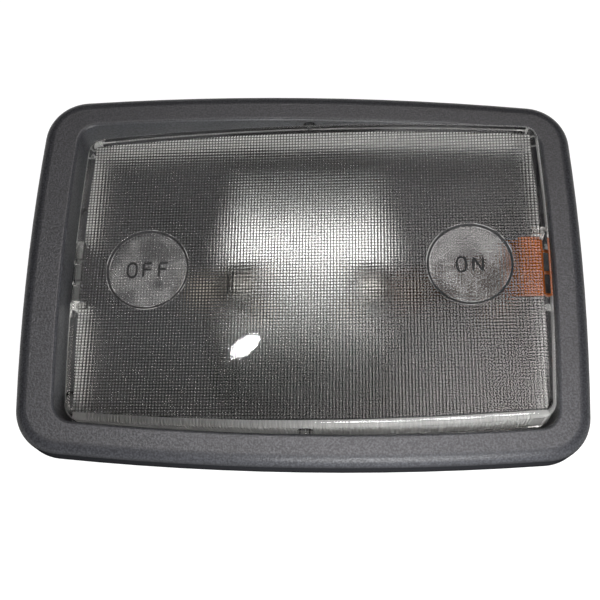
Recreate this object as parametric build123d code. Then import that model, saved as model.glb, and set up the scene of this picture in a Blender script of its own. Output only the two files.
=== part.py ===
"""Car dome light with a rocking prism lens: one box moulding, a festoon bulb and a stack of switch leaves.

Millimetres. X runs along the lamp towards ON, Y runs across it, Z points out of the lens.
Z is zero on the face of the bezel's skirt that lies on the roof lining.
"""
import math
import os

from build123d import *

# Bezel and box, one moulding
BEZEL_LENGTH = 134.0
BEZEL_WIDTH = 95.0
LONG_BOW = 3.2
SHORT_BOW = 1.8
BEZEL_CORNER = 11.0
BEZEL_SHIFT = 0.75
BEZEL_HEIGHT = 7.3
BEZEL_EDGE = 3.0
BEZEL_SKIN = 2.4
SKIRT_WALL = 2.2
END_FACE = 8.35
SIDE_FACE = 7.6
LIP_ROUND = 0.8
OPENING_CORNER = 4.6
BOX_WALL = 2.2
FLOOR_THICKNESS = 2.0
REAR_SPACE = 7.0
GUSSET_PITCH = 22.0
GUSSET_THICKNESS = 1.4
GUSSET_STEP = 0.6
BEARING_BLOCK = 10.0
STOP_HEIGHT = 3.8
STOP_WIDTH = 8.0
STOP_SPREAD = 48.0
BOSS_RADIUS = 4.0
SCREW_HOLE_RADIUS = 1.6
SCREW_SPACING_X = 80.0
SCREW_SPACING_Y = 52.0
SCREW_SKIN = 1.5

# Rocking lens
LENS_GAP = 1.4
LENS_PROUD = 1.2
LENS_DEPTH = 12.0
LENS_FACE = 2.2
LENS_WALL = 2.0
LENS_EDGE = 1.8
LENS_CORNER = 3.5
PRISM_PITCH = 1.0
PRISM_DEPTH = 0.5
FLUTE_DEPTH = 0.35
DISH_RADIUS = 10.0
DISH_DEPTH = 0.55
DISH_STEP = 0.3
DISH_OFFSET = 38.4
SLOT_LENGTH = 15.4
SLOT_WIDTH = 1.8
SLOT_RIB = 0.8
SLOT_SKIN = 0.7
LUG_THICKNESS = 1.6
LUG_REACH = 2.0
LUG_DEPTH = 5.0
PIVOT_DROP = 4.0
TRUNNION_RADIUS = 1.8
TRUNNION_REACH = 1.7
ROCK_ANGLE = 5.0

# Festoon bulb and reflector
BULB_LENGTH = 41.0
GLASS_RADIUS = 5.25
GLASS_WALL = 0.5
CAP_RADIUS = 4.25
CAP_WALL = 0.3
CAP_SLEEVE = 5.0
CAP_CONE = 2.5
CAP_TIP_RADIUS = 1.2
COIL_RADIUS = 0.5
COIL_LENGTH = 18.0
LEAD_RADIUS = 0.25
BULB_HEIGHT = 8.2
REFLECTOR_WIDTH = 61.0
REFLECTOR_OVERHANG = 4.0
REFLECTOR_TAPER = 4.4
REFLECTOR_BASE = 16.0
REFLECTOR_RADIUS = 55.0
REFLECTOR_SHEET = 0.5

# Strips, switch leaves, terminals and rivets
STRIP_SHEET = 0.5
STRIP_WIDTH = 8.0
STRIP_FOOT = 11.0
HOLDER_RISE = 4.0
SPRING_SHEET = 0.4
SPRING_SIDE_GAP = 0.5
SPRING_PAD = 4.6
SPRING_LIP = 2.6
SPRING_LOSS = 3.0
CONTACT_WIDTH = 6.0
CONTACT_SPACING = 8.6
CONTACT_FOOT = 9.0
CONTACT_TONGUE = 4.0
DOOR_GAP = 3.6
STUD_RADIUS = 1.1
STUD_HEIGHT = 0.6
BEND_RADIUS = 0.8
BLADE_SHEET = 0.8
BLADE_WIDTH = 6.3
BLADE_LENGTH = 8.5
BLADE_DROP = 2.4
RIVET_RADIUS = 1.2
RIVET_HEAD_RADIUS = 2.0
RIVET_HEAD = 0.8

# Clearances
STOP_GAP = 0.3
RUN_CLEARANCE = 0.05
SEAT_CLEARANCE = 0.05
END_CLEARANCE = 0.3
SWITCH_CLEARANCE = 0.1
SPRING_GAP = 0.4
SPRING_END_GAP = 1.2
INSULATION_GAP = 1.5

# Positions that follow from the sizes above
rock = math.radians(ROCK_ANGLE)
opening_x = BEZEL_LENGTH / 2 - END_FACE
opening_y = BEZEL_WIDTH / 2 - SIDE_FACE
lens_x = opening_x - LENS_GAP
lens_y = opening_y - LENS_GAP
lens_top = BEZEL_HEIGHT + LENS_PROUD
lens_bottom = lens_top - LENS_DEPTH
lens_under = lens_top - LENS_FACE - PRISM_DEPTH
pivot_z = lens_top - PIVOT_DROP
pressed_z = pivot_z - lens_x * math.sin(rock) - (pivot_z - lens_bottom) * math.cos(rock)
stop_top = pressed_z - STOP_GAP
floor_top = stop_top - STOP_HEIGHT
floor_bottom = floor_top - FLOOR_THICKNESS
rear = floor_bottom - REAR_SPACE
bulb_z = floor_top + BULB_HEIGHT
bulb_half = BULB_LENGTH / 2
cone_base = bulb_half - CAP_CONE
cap_mouth = cone_base - CAP_SLEEVE
holder_x = cone_base + 0.6 * CAP_CONE
holder_hole = CAP_RADIUS - 0.6 * (CAP_RADIUS - CAP_TIP_RADIUS) + SEAT_CLEARANCE
foot_end = holder_x + STRIP_FOOT
foot_rivet = foot_end - STRIP_WIDTH / 2
slot_outer = lens_x - SLOT_SKIN
slot_inner = slot_outer - SLOT_WIDTH
pad_end = slot_outer - SPRING_END_GAP
pad_start = pad_end - SPRING_PAD
pad_z = pivot_z + pad_start * math.sin(rock) + (lens_under - pivot_z) * math.cos(rock) - SPRING_GAP
spring_width = SLOT_LENGTH - 2 * SPRING_SIDE_GAP
contact_riser = pad_end - INSULATION_GAP
contact_rivet = contact_riser - CONTACT_FOOT + CONTACT_WIDTH / 2
stud_x = contact_riser - CONTACT_TONGUE / 2
on_under = pivot_z - pad_end * math.sin(rock) + (lens_under - pivot_z) * math.cos(rock)
door_top = pad_z - SPRING_SHEET - DOOR_GAP
earth_top = on_under - SPRING_SHEET - SWITCH_CLEARANCE
long_radius = ((BEZEL_LENGTH / 2 - SHORT_BOW) ** 2 + LONG_BOW**2) / (2 * LONG_BOW)
short_radius = ((BEZEL_WIDTH / 2 - LONG_BOW) ** 2 + SHORT_BOW**2) / (2 * SHORT_BOW)
up = (0, 0, 1)


def outline(end_inset, side_inset, corner):
    """Rectangle with bowed sides and rounded corners, set in from the bezel's outer edge."""
    long_y = BEZEL_WIDTH / 2 - long_radius
    short_x = BEZEL_LENGTH / 2 - short_radius
    apart = math.hypot(short_x, long_y)
    ra = long_radius - side_inset
    rb = short_radius - end_inset
    along = (ra**2 - rb**2 + apart**2) / (2 * apart)
    off = math.sqrt(ra**2 - along**2)
    x = (short_x * along - long_y * off) / apart
    y = long_y - (long_y * along + short_x * off) / apart
    end = BEZEL_LENGTH / 2 - end_inset
    side = BEZEL_WIDTH / 2 - side_inset
    edges = ThreePointArc((-x, y), (0, side), (x, y))
    edges += ThreePointArc((x, y), (end, 0), (x, -y))
    edges += ThreePointArc((x, -y), (0, -side), (-x, -y))
    edges += ThreePointArc((-x, -y), (-end, 0), (-x, y))
    face = make_face(edges)
    return fillet(face.vertices(), corner)


def block(face, low, high):
    """The face raised from one height to another."""
    return extrude(Pos(0, 0, low) * face, high - low, dir=up)


def tube(x, y, radius, low, high):
    """Upright cylinder between two heights."""
    return Pos(x, y, (low + high) / 2) * Cylinder(radius, high - low)


def bent_sheet(points, thickness, width, bend=BEND_RADIUS):
    """Sheet bent along a path of (x, z) points, thickness to the left of the path, width centred on Y."""
    path = FilletPolyline(*points, radius=bend)
    profile = make_face(offset(path, thickness, side=Side.LEFT))
    return extrude(Plane.XZ * profile, width / 2, both=True)


def rivet(x, y, low, high):
    """Domed rivet that grips from one height to another."""
    rim = RIVET_HEAD_RADIUS
    dome = Polyline(
        (0, high + RIVET_HEAD),
        (0.55 * rim, high + 0.9 * RIVET_HEAD),
        (rim, high + 0.4 * RIVET_HEAD),
        (rim, high),
        (RIVET_RADIUS, high),
        (RIVET_RADIUS, low),
        (0.9 * rim, low),
        (0.8 * rim, low - 0.8 * RIVET_HEAD),
        (0, low - 0.8 * RIVET_HEAD),
        close=True,
    )
    return Pos(x, y, 0) * revolve(Plane.XZ * make_face(dome), Axis.Z)


def rivet_hole(x, y, low, high):
    """Hole that a rivet passes with its seat clearance."""
    return tube(x, y, RIVET_RADIUS + SEAT_CLEARANCE, low, high)


screws = [
    (-SCREW_SPACING_X / 2, SCREW_SPACING_Y / 2),
    (SCREW_SPACING_X / 2, -SCREW_SPACING_Y / 2),
]
foot_rivets = [(-foot_rivet, 0), (foot_rivet, 0)]
contact_rivets = [(contact_rivet, CONTACT_SPACING / 2), (contact_rivet, -CONTACT_SPACING / 2)]
reflector_rivets = [
    (sx * (cap_mouth - RIVET_HEAD_RADIUS), sy * (REFLECTOR_BASE / 2 - 1.5 * RIVET_HEAD_RADIUS))
    for sx in (-1, 1)
    for sy in (-1, 1)
]


def housing():
    """Bezel, box walls, floor, lens stops, screw bosses and bearings in one piece."""
    shift = Pos(-BEZEL_SHIFT, 0, 0)
    ring = block(shift * outline(0, 0, BEZEL_CORNER), 0, BEZEL_HEIGHT)
    hole = outline(END_FACE, SIDE_FACE, OPENING_CORNER)
    ring -= block(hole, -1, BEZEL_HEIGHT + 1)
    ring = fillet(ring.faces().sort_by(Axis.Z)[-1].outer_wire().edges(), BEZEL_EDGE)
    ring = fillet(ring.faces().sort_by(Axis.Z)[-1].inner_wires()[0].edges(), LIP_ROUND)
    # Channel moulded under the bezel, crossed by gussets and filled at the bearings
    skirt = shift * outline(SKIRT_WALL, SKIRT_WALL, BEZEL_CORNER - SKIRT_WALL)
    wall = outline(END_FACE - BOX_WALL, SIDE_FACE - BOX_WALL, OPENING_CORNER + BOX_WALL)
    channel_top = BEZEL_HEIGHT - BEZEL_SKIN
    channel = block(skirt - wall, -1, channel_top)
    gusset_z = (GUSSET_STEP + BEZEL_HEIGHT) / 2
    gusset_height = BEZEL_HEIGHT - GUSSET_STEP
    per_long = int((opening_x - BEZEL_CORNER) / GUSSET_PITCH)
    per_short = int((opening_y - BEZEL_CORNER) / GUSSET_PITCH)
    for i in range(-per_long, per_long + 1):
        thick = GUSSET_THICKNESS if i else BEARING_BLOCK
        channel -= Pos(i * GUSSET_PITCH, 0, gusset_z) * Box(thick, BEZEL_WIDTH, gusset_height)
    reach = BEZEL_LENGTH + 2 * BEZEL_SHIFT
    for i in range(-per_short, per_short + 1):
        channel -= Pos(0, i * GUSSET_PITCH, gusset_z) * Box(reach, GUSSET_THICKNESS, gusset_height)
    body = ring - channel
    # Box and floor
    body += block(wall - hole, rear, channel_top)
    body += block(wall, floor_bottom, floor_top)
    # Stops under the lens ends
    stop_inner = lens_x - 1.5 * LENS_WALL
    stop_outer = opening_x + BOX_WALL / 2 - SHORT_BOW * (STOP_SPREAD / BEZEL_WIDTH) ** 2
    for sx in (-1, 1):
        for sy in (-1, 1):
            stop = Box(stop_outer - stop_inner, STOP_WIDTH, stop_top - floor_bottom)
            middle = (stop_inner + stop_outer) / 2
            body += Pos(sx * middle, sy * STOP_SPREAD / 2, (stop_top + floor_bottom) / 2) * stop
    # Blind screw bosses behind the floor
    for x, y in screws:
        body += tube(x, y, BOSS_RADIUS, rear, floor_bottom + FLOOR_THICKNESS / 2)
    for x, y in screws:
        body -= tube(x, y, SCREW_HOLE_RADIUS, rear - 1, floor_top - SCREW_SKIN)
    # Holes for the rivets
    for x, y in foot_rivets + contact_rivets + reflector_rivets:
        body -= rivet_hole(x, y, floor_bottom - 1, floor_top + 1)
    # Blind bearings for the lens trunnions
    depth = TRUNNION_REACH + END_CLEARANCE
    for side in (-1, 1):
        bore = Rot(90, 0, 0) * Cylinder(TRUNNION_RADIUS + RUN_CLEARANCE, depth + LENS_GAP)
        body -= Pos(0, side * (opening_y + (depth - LENS_GAP) / 2), pivot_z) * bore
    return body


def fluted_hollow():
    """Inside outline of the lens tray, fluted along the walls at the prism pitch except beside the slots."""
    long_y = BEZEL_WIDTH / 2 - long_radius
    short_x = BEZEL_LENGTH / 2 - short_radius
    long_arc = lens_y - LENS_WALL - long_y
    short_arc = lens_x - LENS_WALL - short_x
    across = int((lens_x - LENS_WALL - LENS_CORNER) / PRISM_PITCH)
    down = int((lens_y - LENS_WALL - LONG_BOW - LENS_CORNER / 2) / PRISM_PITCH)
    plain = SLOT_LENGTH / 2 + 2 * LUG_THICKNESS
    half_turn = []
    for i in range(-2 * across, 2 * across + 1):
        x = i * PRISM_PITCH / 2
        half_turn.append((x, long_y + math.sqrt((long_arc - i % 2 * FLUTE_DEPTH) ** 2 - x**2)))
    for i in range(-2 * down, 2 * down + 1):
        y = -i * PRISM_PITCH / 2
        depth = i % 2 * FLUTE_DEPTH if abs(y) > plain else 0
        half_turn.append((short_x + math.sqrt((short_arc - depth) ** 2 - y**2), y))
    return make_face(Polyline(*half_turn, *[(-x, -y) for x, y in half_turn], close=True))


def lens():
    """Clear tray: smooth outside, linear prisms and flutes inside, finger dishes, end slots and trunnions."""
    tray = block(outline(END_FACE + LENS_GAP, SIDE_FACE + LENS_GAP, LENS_CORNER), lens_bottom, lens_top)
    tray = fillet(tray.faces().sort_by(Axis.Z)[-1].edges(), LENS_EDGE)
    plate = lens_top - LENS_FACE
    tray -= block(fluted_hollow(), lens_bottom - 1, plate)
    # Prism ridges run along X under the plate
    span = lens_y - LENS_WALL - LONG_BOW
    count = int(2 * span / PRISM_PITCH)
    first = -count * PRISM_PITCH / 2
    points = [(first, plate + LENS_FACE / 4), (first, plate - 0.1 * PRISM_DEPTH)]
    for i in range(count):
        points.append((first + (i + 0.5) * PRISM_PITCH, plate - PRISM_DEPTH))
        points.append((first + (i + 1) * PRISM_PITCH, plate - 0.1 * PRISM_DEPTH))
    points.append((-first, plate + LENS_FACE / 4))
    ridge = make_face(Polyline(*points, close=True))
    tray += extrude(Plane.YZ * ridge, slot_inner - SLOT_RIB, both=True)
    # Lugs beside the end slots, and the pocket in the end wall between them
    slot_middle = (slot_inner + slot_outer) / 2
    for sx in (-1, 1):
        for sy in (-1, 1):
            lug = Box(LUG_REACH + LENS_WALL / 2, LUG_THICKNESS, LUG_DEPTH)
            x = sx * (lens_x - LENS_WALL / 2 - (LUG_REACH + LENS_WALL / 2) / 2)
            tray += Pos(x, sy * (SLOT_LENGTH + LUG_THICKNESS) / 2, plate - LUG_DEPTH / 2) * lug
        pocket = Box(SLOT_WIDTH, SLOT_LENGTH, 2 * LENS_DEPTH)
        tray -= Pos(sx * slot_middle, 0, plate - LENS_DEPTH) * pocket
    # Finger dishes: a step at the rim, then a shallow bowl
    bowl = DISH_DEPTH - DISH_STEP
    ball = (DISH_RADIUS**2 + bowl**2) / (2 * bowl)
    for sx in (-1, 1):
        tray -= tube(sx * DISH_OFFSET, 0, DISH_RADIUS, lens_top - DISH_STEP, lens_top + 1)
        tray -= Pos(sx * DISH_OFFSET, 0, lens_top + ball - DISH_DEPTH) * Sphere(ball)
    # Three windows in each end slot
    cell = (SLOT_LENGTH - 2 * SLOT_RIB) / 3
    for sx in (-1, 1):
        for i in (-1, 0, 1):
            window = Box(SLOT_WIDTH, cell, 2 * LENS_FACE)
            tray -= Pos(sx * slot_middle, i * (cell + SLOT_RIB), lens_top - LENS_FACE / 2) * window
    # Trunnions
    reach = LENS_WALL + LENS_GAP + TRUNNION_REACH
    for side in (-1, 1):
        pin = Cylinder(TRUNNION_RADIUS, reach)
        pin = chamfer(pin.edges().sort_by(Axis.Z)[-1], END_CLEARANCE)
        middle = lens_y - LENS_WALL + reach / 2
        tray += Pos(0, side * middle, pivot_z) * Rot(-90 * side, 0, 0) * pin
    return Pos(0, 0, pivot_z) * Rot(0, -ROCK_ANGLE, 0) * Pos(0, 0, -pivot_z) * tray


def reflector():
    """Bent bright trough along X behind the bulb."""
    half = REFLECTOR_WIDTH / 2
    turn = math.degrees(math.asin((half - REFLECTOR_BASE / 2) / REFLECTOR_RADIUS))
    start = (-REFLECTOR_BASE / 2, floor_top)
    flank = JernArc((REFLECTOR_BASE / 2, floor_top), (1, 0), REFLECTOR_RADIUS, turn)
    base = Line(start, (REFLECTOR_BASE / 2, floor_top))
    path = Wire([mirror(flank, Plane.YZ).edge(), base.edge(), flank.edge()])
    profile = make_face(offset(path, REFLECTOR_SHEET, side=Side.RIGHT))
    reach = bulb_half + REFLECTOR_OVERHANG
    sheet = extrude(Plane.YZ * profile, reach, both=True)
    # The flanks narrow towards their edges
    middle = REFLECTOR_BASE / 2
    tip = reach - REFLECTOR_TAPER
    side = [(reach, -middle), (reach, middle), (tip, half + REFLECTOR_SHEET)]
    right = [(tip, -half - REFLECTOR_SHEET)] + side
    plan = make_face(Polyline(*right, *[(-x, -y) for x, y in right], close=True))
    sheet &= block(plan, rear, lens_top)
    notch = reach - holder_x + INSULATION_GAP
    for sx in (-1, 1):
        cut = Box(2 * notch, STRIP_WIDTH + 2 * INSULATION_GAP, 4 * BULB_HEIGHT)
        sheet -= Pos(sx * reach, 0, floor_top) * cut
    for x, y in reflector_rivets:
        sheet -= rivet_hole(x, y, floor_top - 1, floor_top + 1)
    return sheet


def turned(points):
    """Solid of revolution about the bulb's axis from (x, radius) points."""
    profile = make_face(Polyline(*points, close=True))
    return Pos(0, 0, bulb_z) * revolve(profile, Axis.X)


def bulb_glass():
    """Hollow envelope with a neck inside each cap."""
    neck = CAP_RADIUS - CAP_WALL - 2 * SEAT_CLEARANCE
    shoulder = cap_mouth - 1.5
    end = cone_base - 2 * CAP_WALL
    outer = [(shoulder, GLASS_RADIUS), (cap_mouth - 0.2, neck), (end, neck), (end, 0)]
    inner = [
        (shoulder - 0.2, GLASS_RADIUS - GLASS_WALL),
        (cap_mouth - 0.4, neck - GLASS_WALL),
        (end - GLASS_WALL, neck - GLASS_WALL),
        (end - GLASS_WALL, 0),
    ]
    shell = turned([(-x, r) for x, r in reversed(outer)] + outer)
    return shell - turned([(-x, r) for x, r in reversed(inner)] + inner)


def bulb_cap(side):
    """Metal cup with a conical contact."""
    bore = CAP_RADIUS - CAP_WALL
    points = [
        (cap_mouth, bore),
        (cap_mouth, CAP_RADIUS),
        (cone_base, CAP_RADIUS),
        (bulb_half, CAP_TIP_RADIUS),
        (bulb_half, 0),
        (cone_base - CAP_WALL, 0),
        (cone_base - CAP_WALL, bore),
    ]
    return turned([(side * x, r) for x, r in points])


def filament():
    """Coil envelope on the bulb's axis."""
    half = COIL_LENGTH / 2
    return turned([(-half, 0), (-half, COIL_RADIUS), (half, COIL_RADIUS), (half, 0)])


def filament_leads():
    """Two straight leads from the coil to the ends of the glass."""
    near = COIL_LENGTH / 2
    far = cone_base - 2 * CAP_WALL - GLASS_WALL
    leads = [[(s * near, 0), (s * near, LEAD_RADIUS), (s * far, LEAD_RADIUS), (s * far, 0)] for s in (-1, 1)]
    return Compound(children=[turned(points) for points in leads])


def holder_strip(side):
    """Strip that stands at one end of the bulb, with a foot riveted to the floor."""
    points = [(-foot_end, floor_top), (-holder_x, floor_top), (-holder_x, bulb_z + HOLDER_RISE)]
    strip = bent_sheet(points, STRIP_SHEET, STRIP_WIDTH)
    strip -= Pos(-holder_x, 0, bulb_z) * Rot(0, 90, 0) * Cylinder(holder_hole, 4 * STRIP_SHEET)
    strip -= rivet_hole(-foot_rivet, 0, floor_top - 1, floor_top + 1)
    return strip if side < 0 else mirror(strip, Plane.YZ)


def switch_spring():
    """Wide bronze leaf that the ON end of the lens presses."""
    foot = floor_top + STRIP_SHEET
    points = [
        (foot_end - STRIP_WIDTH, foot),
        (foot_end, foot),
        (pad_start, pad_z - SPRING_SHEET),
        (pad_end, pad_z - SPRING_SHEET),
        (pad_end + SPRING_SHEET, pad_z - SPRING_LIP),
    ]
    leaf = bent_sheet(points, SPRING_SHEET, spring_width, 1.5 * BEND_RADIUS)
    narrow = STRIP_WIDTH / 2
    wide = spring_width / 2
    plan = Polyline(
        (0, -narrow),
        (foot_end + SPRING_LOSS, -narrow),
        (pad_start - SPRING_LOSS, -wide),
        (opening_x, -wide),
        (opening_x, wide),
        (pad_start - SPRING_LOSS, wide),
        (foot_end + SPRING_LOSS, narrow),
        (0, narrow),
        close=True,
    )
    leaf &= block(make_face(plan), rear, pad_z + LENS_DEPTH)
    return leaf - rivet_hole(foot_rivet, 0, floor_top, floor_top + 3)


def contact(y, top):
    """Hooked contact strip under the leaf's pad, riveted to the floor."""
    tongue = top - STUD_HEIGHT
    points = [
        (contact_riser - CONTACT_FOOT, floor_top),
        (contact_riser, floor_top),
        (contact_riser, tongue),
        (contact_riser - CONTACT_TONGUE, tongue),
    ]
    strip = bent_sheet(points, SPRING_SHEET, CONTACT_WIDTH)
    strip -= tube(stud_x, 0, STUD_RADIUS / 2 + SEAT_CLEARANCE, tongue - 2, tongue + 1)
    strip -= rivet_hole(contact_rivet, 0, floor_top - 1, floor_top + 2)
    return Pos(0, y, 0) * strip


def stud(y, top):
    """Contact button through the tongue of one contact strip."""
    tongue = top - STUD_HEIGHT
    under = tongue - SPRING_SHEET
    points = Polyline(
        (0, top),
        (0.6 * STUD_RADIUS, top - 0.15 * STUD_HEIGHT),
        (STUD_RADIUS, tongue + 0.3 * STUD_HEIGHT),
        (STUD_RADIUS, tongue),
        (STUD_RADIUS / 2, tongue),
        (STUD_RADIUS / 2, under),
        (0.8 * STUD_RADIUS, under),
        (0.8 * STUD_RADIUS, under - SPRING_SHEET),
        (0, under - SPRING_SHEET),
        close=True,
    )
    return Pos(stud_x, y, 0) * revolve(Plane.XZ * make_face(points), Axis.Z)


def terminal(x, y, turn):
    """Blade terminal behind the floor, held by the same rivet as its strip."""
    step = 1.5 * RIVET_HEAD_RADIUS
    tip = step + BLADE_DROP + BLADE_LENGTH
    points = [
        (step, floor_bottom),
        (-step, floor_bottom),
        (-step - BLADE_DROP, floor_bottom - BLADE_DROP),
        (-tip, floor_bottom - BLADE_DROP),
    ]
    blade = bent_sheet(points, BLADE_SHEET, BLADE_WIDTH)
    half = BLADE_WIDTH / 2
    plan = Polyline(
        (step, -half),
        (step, half),
        (-tip + half / 2, half),
        (-tip, half / 2),
        (-tip, -half / 2),
        (-tip + half / 2, -half),
        close=True,
    )
    blade &= block(make_face(plan), rear, floor_bottom)
    blade -= rivet_hole(0, 0, floor_bottom - 2, floor_bottom + 1)
    blade -= tube(-tip + half, 0, BLADE_SHEET, rear, floor_bottom)
    return Pos(x, y, 0) * Rot(0, 0, turn) * blade


def strip_rivets():
    """Rivets through the strips, the floor and, where there is one, the blade terminal."""
    behind = floor_bottom - BLADE_SHEET
    stack = floor_top + STRIP_SHEET
    group = [rivet(-foot_rivet, 0, behind, stack), rivet(foot_rivet, 0, floor_bottom, stack + SPRING_SHEET)]
    group += [rivet(x, y, behind, floor_top + SPRING_SHEET) for x, y in contact_rivets]
    return Compound(children=group)


door_y = CONTACT_SPACING / 2
earth_y = -CONTACT_SPACING / 2
nodes = {
    "housing": housing(),
    "lens": lens(),
    "reflector": reflector(),
    "reflector_rivets": Compound(
        children=[rivet(x, y, floor_bottom, floor_top + REFLECTOR_SHEET) for x, y in reflector_rivets]
    ),
    "bulb_glass": bulb_glass(),
    "bulb_cap_feed": bulb_cap(-1),
    "bulb_cap_switched": bulb_cap(1),
    "bulb_filament": filament(),
    "filament_leads": filament_leads(),
    "feed_strip": holder_strip(-1),
    "link_strip": holder_strip(1),
    "switch_spring": switch_spring(),
    "door_contact": contact(door_y, door_top),
    "earth_contact": contact(earth_y, earth_top),
    "door_stud": stud(door_y, door_top),
    "earth_stud": stud(earth_y, earth_top),
    "feed_terminal": terminal(-foot_rivet, 0, 0),
    "door_terminal": terminal(contact_rivet, door_y, -90),
    "earth_terminal": terminal(contact_rivet, earth_y, 90),
    "strip_rivets": strip_rivets(),
}

os.makedirs("parts", exist_ok=True)
for name, shape in nodes.items():
    export_step(shape, f"parts/{name}.step")
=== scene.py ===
"""Looks for a car dome light with a rocking prism lens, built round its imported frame.

The file is laid out as an add-on: the sizes and colours are properties, and each piece has its own operator.
Lengths are metres in the frame of the solids: +X runs to the ON end, +Z points out of the lens.
"""

import math

import bmesh
import bpy
import numpy as np
from bpy.props import FloatProperty, FloatVectorProperty, PointerProperty
from mathutils import Matrix, Vector


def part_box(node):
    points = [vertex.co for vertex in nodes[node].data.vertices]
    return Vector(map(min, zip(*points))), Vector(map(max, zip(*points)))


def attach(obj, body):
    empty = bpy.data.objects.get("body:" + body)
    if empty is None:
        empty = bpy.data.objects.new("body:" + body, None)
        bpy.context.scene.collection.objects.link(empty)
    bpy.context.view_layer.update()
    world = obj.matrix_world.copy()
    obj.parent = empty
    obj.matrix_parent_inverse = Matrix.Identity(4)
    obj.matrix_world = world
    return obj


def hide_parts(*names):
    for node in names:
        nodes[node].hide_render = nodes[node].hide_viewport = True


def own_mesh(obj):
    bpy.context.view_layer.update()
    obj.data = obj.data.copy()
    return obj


bl_info = {
    "name": "Car Dome Light",
    "version": (1, 0, 0),
    "blender": (4, 5, 0),
    "location": "3D View > Sidebar > Dome Light",
    "description": "Lens, words, filament, switch leaves, finishes and stage of a car dome light",
    "category": "Object",
}

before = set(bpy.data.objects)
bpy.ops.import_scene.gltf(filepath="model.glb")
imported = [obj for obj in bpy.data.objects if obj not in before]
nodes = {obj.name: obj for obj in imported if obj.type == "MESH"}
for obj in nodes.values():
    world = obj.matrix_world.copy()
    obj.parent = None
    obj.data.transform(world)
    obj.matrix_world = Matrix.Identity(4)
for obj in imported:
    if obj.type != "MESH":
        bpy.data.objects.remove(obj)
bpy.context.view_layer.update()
# The pins of the lens and the rear rim that lies on the stage
pivot_height = 0.0045
rear_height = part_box("housing")[0].z


def length(name, description, default):
    """A length property in metres."""
    return FloatProperty(name=name, description=description, default=default, unit="LENGTH", precision=5)


def colour(name, description, default):
    """A colour property."""
    return FloatVectorProperty(
        name=name, description=description, default=default, subtype="COLOR", size=3, min=0.0, max=1.0
    )


def share(name, description, default):
    """A property that is a share from none to all."""
    return FloatProperty(
        name=name, description=description, default=default, subtype="FACTOR", min=0.0, max=1.0
    )


def number(name, description, default, unit="NONE"):
    """A property that is a plain number, with a unit where one fits."""
    return FloatProperty(name=name, description=description, default=default, unit=unit)


class DomeLensSizes(bpy.types.PropertyGroup):
    """Sizes of the rocking lens, before it is tilted."""

    half_length: length("Half length", "Middle of the lens to the middle of an end wall", 0.05725)
    half_width: length("Half width", "Middle of the lens to the middle of a long wall", 0.0385)
    side_radius: length("Side radius", "Radius of the bow of the long walls", 0.65683)
    end_radius: length("End radius", "Radius of the bow of the end walls", 0.53629)
    corner: length("Corner", "Radius of the corners seen from above", 0.0035)
    edge: length("Edge", "Rounding between the face and the walls", 0.0018)
    top: length("Top", "Height of the face", 0.0085)
    depth: length("Depth", "Height of the walls with the face", 0.012)
    wall: length("Wall", "Thickness of the walls", 0.002)
    plate: length("Plate", "Thickness of the face over the prisms", 0.0022)
    prism: length("Prism height", "Height of the prisms under the plate", 0.0005)
    pitch: length("Prism pitch", "Pitch of the prisms in both directions", 0.00075)
    bulge: number("Bulge", "Slope of a prism's end at its edges", 0.5)
    groove: share("Groove", "Share of the pitch taken by the dull groove between two prisms", 0.34)
    flute: length("Flute depth", "Depth of the flutes inside the walls", 0.00035)
    dish_radius: length("Dish radius", "Radius of the two finger dishes", 0.01)
    dish_depth: length("Dish depth", "Depth of a finger dish at its middle", 0.00055)
    dish_step: length("Dish step", "Height of the step at the rim of a dish", 0.0003)
    rim_inside: length("Rim inside", "How far the step of a dish reaches inside its radius", 0.00015)
    rim_outside: length("Rim outside", "How far the step of a dish reaches outside its radius", 0.0001)
    dish_offset: length("Dish offset", "Middle of the lens to the middle of a dish", 0.0384)
    slot_length: length("Slot length", "Length of an end slot across the lens", 0.0154)
    slot_width: length("Slot width", "Width of an end slot along the lens", 0.0018)
    slot_rib: length("Slot rib", "Thickness of the ribs between the windows of a slot", 0.0008)
    slot_skin: length("Slot skin", "Wall left outside an end slot", 0.0007)
    lug_thickness: length("Lug thickness", "Thickness of the lugs beside a slot", 0.0016)
    lug_reach: length("Lug reach", "How far the lugs stand into the tray", 0.002)
    lug_depth: length("Lug depth", "How far the lugs hang below the plate", 0.005)
    trunnion: length("Trunnion radius", "Radius of the two pins the lens turns on", 0.0018)
    trunnion_reach: length("Trunnion reach", "How far a pin stands out of the wall", 0.0031)
    tilt: FloatProperty(
        name="Rest tilt", description="Angle of the lens at OFF", default=math.radians(5.0), subtype="ANGLE"
    )


class DomeWordSizes(bpy.types.PropertyGroup):
    """Sizes of the words in the finger dishes."""

    height: length("Letter height", "Height of a letter", 0.0036)
    width: length("Letter width", "Width of a letter", 0.0022)
    spacing: length("Letter spacing", "From one letter to the next", 0.00385)
    stroke: length("Stroke", "Width of a stroke", 0.00055)
    relief: length("Relief", "How far a stroke stands out", 0.0001)
    ring_inset: length("Ring inset", "How far the ring round a word runs inside its dish", 0.0002)


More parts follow.
